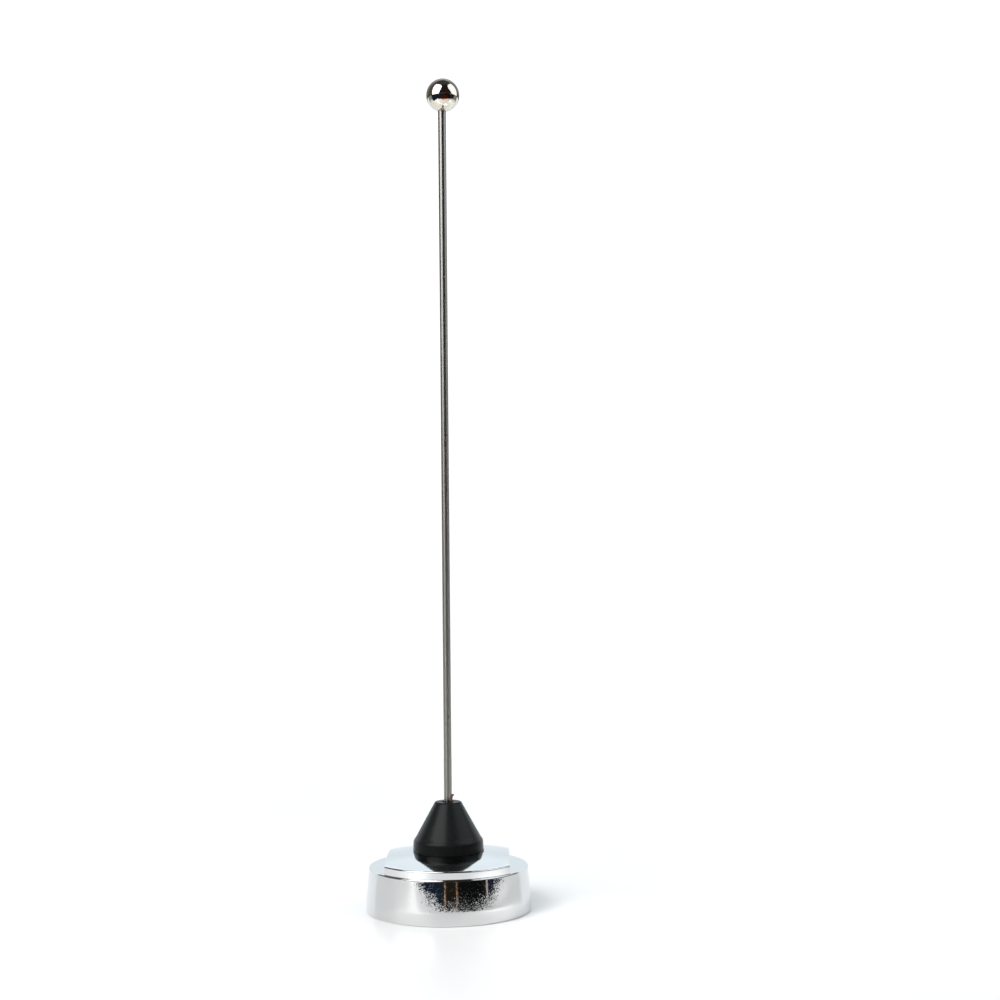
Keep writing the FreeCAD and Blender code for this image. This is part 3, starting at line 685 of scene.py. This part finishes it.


# ---- the spring behind the plunger, with closed ends
def make_spring():
    wire, mid, lo, hi = 0.16, 1.26, 11.22, 15.48
    turns, per = 7.0, 28
    n = int(turns * per)
    path = []
    for i in range(n + 1):
        u = i / per
        # one closed turn at each end
        if u < 1:
            z = 2 * wire * u * 0.98
        elif u > turns - 1:
            z = (hi - lo - 2 * wire) - 2 * wire * (turns - u) * 0.98
        else:
            f = (u - 1) / (turns - 2)
            z = 2 * wire * 0.98 + f * ((hi - lo - 2 * wire) - 4 * wire * 0.98)
        a = TAU * u
        path.append((mid * math.cos(a), mid * math.sin(a), lo + wire + z))
    path = np.array(path)
    rings = []
    sides = 10
    for i, q in enumerate(path):
        d = path[min(i + 1, n)] - path[max(i - 1, 0)]
        d /= np.linalg.norm(d)
        out = np.array([q[0], q[1], 0]) / mid
        up = np.cross(d, out)
        up /= np.linalg.norm(up)
        side = np.cross(up, d)
        ring = [q + wire * (math.cos(TAU * k / sides) * side + math.sin(TAU * k / sides) * up) for k in range(sides)]
        rings.append(ring)
    rings = [np.repeat(path[:1], sides, 0)] + rings + [np.repeat(path[-1:], sides, 0)]
    ob = grid_piece("spring_coil", rings, SPRING_STEEL, sharp=60)
    ride(ob, "antenna", "spring_steel", "contact_spring")
    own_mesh(ob)
    return ob


spring = make_spring()


# ---- the plunger
def make_plunger():
    p = [(0, 7.9)]
    R = (1.2 ** 2 + 0.7 ** 2) / 1.4
    for i in range(1, 13):
        a = math.asin(1.14 / R) * i / 12
        p.append((R * math.sin(a), 7.9 + R - R * math.cos(a)))
    p += [(1.18, 8.56), (1.2, 8.66), (1.2, 9.2), (1.2, 10.0), (1.2, 10.07), (1.44, 10.07), (1.5, 10.13), (1.5, 11.12), (1.42, 11.2), (0.6, 11.2), (0, 11.2)]
    ob = lathe("contact_tip", p, GOLD, 72)
    return ride(ob, "contact_pin", "gold_plate", "contact_plunger")


plunger = make_plunger()


# ---- the sealing ring, with softly rounded edges and a slightly uneven face
def make_ring():
    p = []
    ri, ro, h, e = 14.65, 19.5, 1.58, 0.16
    p += arc(ri + e, e, e, 180, 270, 4)
    p += [(ri + 1.2, 0.0), (17.0, 0.0), (ro - 1.2, 0.0)]
    p += arc(ro - e, e, e, 270, 360, 4)
    p += [(ro, 0.6), (ro, 1.0)]
    p += arc(ro - e, h - e, e, 0, 90, 4)
    p += [(17.0, h)]
    p += arc(ri + e, h - e, e, 90, 180, 4)
    p += [(ri, 1.0), (ri, 0.6)]
    ob = lathe("ring_seal", p, RUBBER, 200, closed=True)
    return ride(ob, "antenna", "ring_rubber", "base_gasket")


ring = make_ring()


# ---- a curl of dried adhesive at the rod's foot
def make_curl():
    line = [(0.78, -0.52, 27.64), (0.84, -0.66, 28.00), (0.88, -0.72, 28.42), (0.98, -0.68, 28.92), (1.14, -0.60, 29.36), (1.36, -0.52, 29.46), (1.50, -0.48, 29.22)]
    width = [0.44, 0.40, 0.33, 0.29, 0.26, 0.21, 0.09]
    pts, wid = [], []
    for i in range(len(line) - 1):
        p0, p1 = np.array(line[max(i - 1, 0)]), np.array(line[i])
        p2, p3 = np.array(line[i + 1]), np.array(line[min(i + 2, len(line) - 1)])
        for k in range(6):
            f = k / 6
            q = 0.5 * ((2 * p1) + (p2 - p0) * f + (2 * p0 - 5 * p1 + 4 * p2 - p3) * f * f + (3 * p1 - p0 - 3 * p2 + p3) * f ** 3)
            pts.append(q)
            wid.append(width[i] + (width[i + 1] - width[i]) * f)
    pts.append(np.array(line[-1]))
    wid.append(width[-1])
    pts = np.array(pts)
    rings = []
    for i, q in enumerate(pts):
        d = pts[min(i + 1, len(pts) - 1)] - pts[max(i - 1, 0)]
        d /= np.linalg.norm(d)
        u = np.cross(d, (0, 1, 0))
        u /= np.linalg.norm(u)
        v = np.cross(d, u)
        w = wid[i] * (1 + 0.18 * math.sin(i * 1.7))
        rings.append([q + w * (math.cos(TAU * k / 12) * u + 0.7 * math.sin(TAU * k / 12) * v) for k in range(12)])
    rings = [np.repeat(pts[:1], 12, 0)] + rings + [np.repeat(pts[-1:], 12, 0)]
    ob = grid_piece("foot_curl", rings, ADHESIVE, sharp=80)
    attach(ob, "antenna")
    return ob


curl = make_curl()

# ---- carried-over nodes get their materials
for node, mat in {
    "whip_ferrule": BRASS,
    "clamp_screw": BLACK_STEEL,
    "cone_seal": SEAL_RUBBER,
    "lower_insulator": WHITE,
    "contact_washer": NICKEL,
    "contact_stud": BRASS,
}.items():
    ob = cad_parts[node]
    ob.data.materials.clear()
    ob.data.materials.append(mat)


# -------------------------------------------------------------------- studio
def make_floor():
    """A pale sheet on the table. It lies flat by the base and slopes a little to the
    right and to the front beyond it. It is open under the base, so light reaches the
    base's underside, and it can't be seen from below."""
    outer = [(-0.70, 0.300), (-0.70, 0.075), (-0.31, -0.06), (-0.265, -0.141), (-0.2263, -0.2603), (-0.1192, -0.2401), (-0.0675, -0.2770),
             (0.0035, -0.226), (0.063, -0.242), (0.1256, -0.2322), (0.1793, -0.2468), (0.2441, -0.2645), (0.3126, -0.1953),
             (0.38, -0.202), (0.57, -0.12), (0.70, 0.10), (0.70, 0.300)]
    cols = 192
    t = np.linspace(0, TAU, cols, endpoint=False)
    inner = [(0.0207 * math.cos(a), 0.0207 * math.sin(a)) for a in t]

    def far(a):
        d = (math.cos(a), math.sin(a))
        best = 9.0
        for i in range(len(outer)):
            p, q = outer[i], outer[(i + 1) % len(outer)]
            e = (q[0] - p[0], q[1] - p[1])
            det = d[0] * (-e[1]) + d[1] * e[0]
            if abs(det) < 1e-12:
                continue
            k = (p[0] * (-e[1]) + p[1] * e[0]) / det
            w = (d[0] * p[1] - d[1] * p[0]) / det
            if k > 0 and -1e-9 <= w <= 1 + 1e-9:
                best = min(best, k)
        return (d[0] * best, d[1] * best)

    def lie(x, y):
        return -0.0304 * (max(x - 0.026, 0.0) - max(-x - 0.026, 0.0)) - 0.0075 * max(-y - 0.03, 0.0)

    rings = [[(x, y, 0.0) for x, y in inner]]
    ends = [far(a) for a in t]
    for f in (0.01, 0.03, 0.06, 0.1, 0.2, 0.3, 0.45, 0.6, 0.8, 1.0):
        rings.append([(x + (u - x) * f, y + (v - y) * f, lie(x + (u - x) * f, y + (v - y) * f)) for (x, y), (u, v) in zip(inner, ends)])
    me = bpy.data.meshes.new("floor")
    verts = [v for r in rings for v in r]
    faces = []
    for i in range(len(rings) - 1):
        for j in range(cols):
            k = (j + 1) % cols
            faces.append((i * cols + j, (i + 1) * cols + j, (i + 1) * cols + k, i * cols + k))
    me.from_pydata(verts, [], faces)
    me.update()
    for poly in me.polygons:
        poly.use_smooth = True
    m = bpy.data.materials.new("paper")
    m.use_nodes = True
    n = Net(m.node_tree)
    s = m.node_tree.nodes["Principled BSDF"]
    tone = n.mix(n.noise(n.place(), 60, 4.0, 0.6), (0.86, 0.86, 0.86), (0.885, 0.885, 0.885))
    n.put(s.inputs["Base Color"], tone)
    s.inputs["Roughness"].default_value = 0.38
    s.inputs["Specular IOR Level"].default_value = 0.95
    out = m.node_tree.nodes["Material Output"]
    clear = n.add("ShaderNodeBsdfTransparent")
    swap = n.add("ShaderNodeMixShader")
    back = n.add("ShaderNodeNewGeometry").outputs["Backfacing"]
    n.put(swap.inputs[0], back)
    n.links.new(s.outputs[0], swap.inputs[1])
    n.links.new(clear.outputs[0], swap.inputs[2])
    n.links.new(swap.outputs[0], out.inputs["Surface"])
    me.materials.append(m)
    ob = bpy.data.objects.new("floor", me)
    ob.location = (0, 0, -0.00002)
    SCENE.collection.objects.link(ob)
    return ob


floor = make_floor()


def make_card(name, corners, faces, tint, strength, rise=None):
    """A plain light card outside the picture. rise: (height, height, factor) over which
    its light grows by the factor."""
    me = bpy.data.meshes.new(name)
    me.from_pydata(corners, [], faces)
    m = bpy.data.materials.new(name)
    m.use_nodes = True
    n = Net(m.node_tree)
    m.node_tree.nodes.remove(m.node_tree.nodes["Principled BSDF"])
    e = n.add("ShaderNodeEmission")
    e.inputs["Color"].default_value = colour(tint)
    e.inputs["Strength"].default_value = strength
    if rise:
        xyz = n.add("ShaderNodeSeparateXYZ")
        n.put(xyz.inputs[0], n.place())
        n.put(e.inputs["Strength"], n.step(xyz.outputs[2], rise[0], rise[1], strength, strength * rise[2]))
    n.links.new(e.outputs[0], m.node_tree.nodes["Material Output"].inputs["Surface"])
    me.materials.append(m)
    ob = bpy.data.objects.new(name, me)
    SCENE.collection.objects.link(ob)
    ob.visible_camera = False
    ob.visible_shadow = False
    return ob


make_card("back_card", [(-0.5, 0.30, -0.02), (0.5, 0.30, -0.02), (0.5, 0.30, 0.235), (-0.5, 0.30, 0.235)], [(0, 1, 2, 3)], (0.86, 0.945, 1.0), 1.0, (0.078, 0.15, 1.18))


def make_softbox(name, rows, tint, strength):
    """A curved light panel half a metre from the whip. rows: (elevation seen from the
    ball, azimuth of its left edge, azimuth of its right edge), in degrees, azimuth 0
    being the camera's side and positive to the right."""
    reach, high = 0.5, 0.212
    across = 8
    verts, faces = [], []
    for el, left, right in rows:
        for i in range(across + 1):
            a = math.radians(left + (right - left) * i / across)
            verts.append((reach * math.sin(a), -reach * math.cos(a), high + reach * math.tan(math.radians(el))))
    for i in range(len(rows) - 1):
        for j in range(across):
            k = i * (across + 1) + j
            faces.append((k, k + 1, k + across + 2, k + across + 1))
    return make_card(name, verts, faces, tint, strength)


make_softbox("left_softbox", [(1.0, -74, -26), (5, -74, -25), (12, -74, -22), (20, -74, -19), (33, -75, -12), (48, -77, -6.5), (56, -77, -14), (61, -70, -23)], (1.0, 1.0, 1.0), 3.5)
make_softbox("right_softbox", [(3.0, 66, 114), (10, 62, 114), (21, 55, 114), (33, 46, 113), (47, 47, 112), (54, 54, 109), (59, 62, 102)], (0.89, 0.95, 1.0), 1.50)


def make_sky(name, where, aim, size, power):
    """A large soft light over the table, which mirrors don't show."""
    data = bpy.data.lights.new(name, "AREA")
    data.shape = "RECTANGLE"
    data.size, data.size_y = size
    data.energy = power
    ob = bpy.data.objects.new(name, data)
    SCENE.collection.objects.link(ob)
    ob.location = where
    ob.rotation_euler = (Vector(aim) - Vector(where)).to_track_quat("-Z", "Y").to_euler()
    ob.visible_camera = False
    ob.visible_glossy = False
    return ob


def make_pool(name, where, bearing, size, spread, power):
    """A small panel that throws a soft pool of light straight down on the sheet.
    bearing: the way its long side points, in degrees, 0 being the camera's side."""
    ob = make_sky(name, where, (where[0], where[1], 0), size, power)
    ob.rotation_euler = (0, 0, math.radians(bearing))
    ob.data.spread = math.radians(spread)
    ob.data.color = (1.0, 0.985, 0.94)
    return ob


make_pool("left_pool", (-0.1062, -0.1050, 0.11), -52.0, (0.028, 0.21), 24, 0.0155)
make_pool("right_pool", (0.0575, -0.035, 0.12), 60.0, (0.05, 0.06), 30, 0.0105)
make_pool("side_pool", (0.27, -0.07, 0.22), 78.0, (0.08, 0.16), 40, 0.034)
make_pool("far_pool", (0.42, 0.20, 0.50), 0.0, (0.46, 0.46), 58, 0.40)
make_sky("key_light", (-0.75, -0.55, 0.85), (0, 0, 0), (0.7, 0.7), 9.6)
make_sky("fill_light", (0.25, -0.15, 1.25), (0, 0, 0), (1.3, 1.3), 5.4)


def make_world():
    """The room: dark between and below the soft boxes, a dim ceiling, a paler back."""
    w = bpy.data.worlds.new("studio")
    SCENE.world = w
    w.use_nodes = True
    n = Net(w.node_tree)
    for node in list(w.node_tree.nodes):
        w.node_tree.nodes.remove(node)
    d = n.add("ShaderNodeTexCoord").outputs["Generated"]
    xyz = n.add("ShaderNodeSeparateXYZ")
    n.put(xyz.inputs[0], d)
    x, y, z = xyz.outputs
    az = n.math("MULTIPLY", n.math("ARCTAN2", x, n.math("MULTIPLY", y, -1.0)), 180 / math.pi)
    el = n.math("MULTIPLY", n.math("ARCSINE", z), 180 / math.pi)
    side = n.math("ABSOLUTE", az)
    # walls and ceiling
    room = n.mix(n.step(el, 45, 75), (0.085, 0.080, 0.075), (0.050, 0.047, 0.048))
    room = n.mix(n.math("MULTIPLY", n.step(az, -112, -124, 0.0, 1.0), n.step(el, 60, 45, 0.0, 1.0)), room, (0.13, 0.13, 0.13))
    room = n.mix(n.math("MULTIPLY", n.step(az, 132, 150, 0.0, 1.0), n.step(el, 60, 45, 0.0, 1.0)), room, (0.10, 0.10, 0.10))
    # a pale wall behind, which only mirrors show
    wall = n.math("MULTIPLY", n.step(side, 104, 128), n.band(el, 12, 66, 8, 16))
    wall = n.math("MULTIPLY", wall, n.add("ShaderNodeLightPath").outputs["Is Glossy Ray"])
    room = n.mix(wall, room, (0.20, 0.205, 0.21))
    room = n.mix(n.math("MULTIPLY", wall, n.step(side, 140, 158)), room, (0.46, 0.48, 0.50))
    # the gap between the soft boxes
    gap = n.math("MULTIPLY", n.band(az, -20, 70, 10, 10), n.band(el, -20, 64, 6, 14))
    room = n.mix(gap, room, (0.016, 0.014, 0.014))
    # beyond the table's sides
    low = n.step(el, 1.5, -1.0, 0.0, 1.0)
    below = n.mix(n.step(az, -5, 5), (0.28, 0.29, 0.30), (0.27, 0.24, 0.23))
    room = n.mix(low, room, below)
    # the dark front of the room below the soft boxes
    front = n.math("MULTIPLY", n.band(az, -84, 88, 6, 6), n.band(el, -75, 6.0, 8, 2.0))
    dark = n.mix(n.step(az, -12, 0), (0.010, 0.018, 0.032), (0.016, 0.012, 0.008))
    dark = n.mix(n.band(az, 14, 50, 3, 4), dark, (0.005, 0.006, 0.006))
    dark = n.mix(n.band(az, 62, 90, 4, 4), dark, (0.014, 0.020, 0.038))
    level = n.band(el, -3.6, 1.4, 1.0)
    dark = n.mix(n.math("MULTIPLY", level, n.band(az, -4.0, -2.9, 0.6)), dark, (0.62, 0.41, 0.25))
    dark = n.mix(n.math("MULTIPLY", level, n.band(az, 12.4, 13.5, 0.6)), dark, (0.56, 0.31, 0.17))
    dark = n.mix(n.math("MULTIPLY", level, n.band(az, 55.6, 58.2, 0.8)), dark, (0.46, 0.45, 0.47))
    deep = n.math("MULTIPLY", n.band(az, -6, 42, 20, 20), n.step(el, -4.0, -14.0))
    dark = n.mix(deep, dark, (0.032, 0.012, 0.011))
    warm = n.band(el, 1.6, 5.0, 0.8, 1.0)
    dark = n.mix(warm, dark, (0.11, 0.032, 0.020))
    room = n.mix(front, room, dark)
    # the table's edge, under the sheet's
    rim = n.math("SUBTRACT", el, n.math("MULTIPLY", side, 0.155))
    wood = n.math("MULTIPLY", n.band(az, -36, 64, 14, 14), n.band(rim, -62, -38.2, 3, 2))
    room = n.mix(wood, room, (0.80, 0.26, 0.10))
    light = n.add("ShaderNodeBackground")
    n.put(light.inputs["Color"], room)
    seen = n.add("ShaderNodeBackground")
    seen.inputs["Color"].default_value = (1, 1, 1, 1)
    seen.inputs["Strength"].default_value = 1.15
    swap = n.add("ShaderNodeMixShader")
    n.put(swap.inputs[0], n.add("ShaderNodeLightPath").outputs["Is Camera Ray"])
    n.links.new(light.outputs[0], swap.inputs[1])
    n.links.new(seen.outputs[0], swap.inputs[2])
    out = n.add("ShaderNodeOutputWorld")
    n.links.new(swap.outputs[0], out.inputs["Surface"])


make_world()

# -------------------------------------------------------------------- camera
cam_data = bpy.data.cameras.new("camera")
cam = bpy.data.objects.new("camera", cam_data)
SCENE.collection.objects.link(cam)
cam_data.sensor_width = 36.0
cam_data.lens = 60.38
pitch, roll, yaw = 0.0236, 0.0096, 0.0013
fwd = Vector((math.sin(yaw) * math.cos(pitch), math.cos(yaw) * math.cos(pitch), math.sin(pitch)))
right0 = Vector((math.cos(yaw), -math.sin(yaw), 0))
up0 = right0.cross(fwd)
right = right0 * math.cos(roll) - up0 * math.sin(roll)
up = right0 * math.sin(roll) + up0 * math.cos(roll)
turn = Matrix((right, up, -fwd)).transposed()
cam.matrix_world = Matrix.Translation((0.01368, -0.43728, 0.09550)) @ turn.to_4x4()
cam_data.clip_start, cam_data.clip_end = 0.01, 20.0
SCENE.camera = cam

SCENE.view_settings.view_transform = "Standard"
SCENE.view_settings.look = "None"
SCENE.view_settings.exposure = 0.0
SCENE.view_settings.gamma = 1.0

bpy.context.view_layer.update()
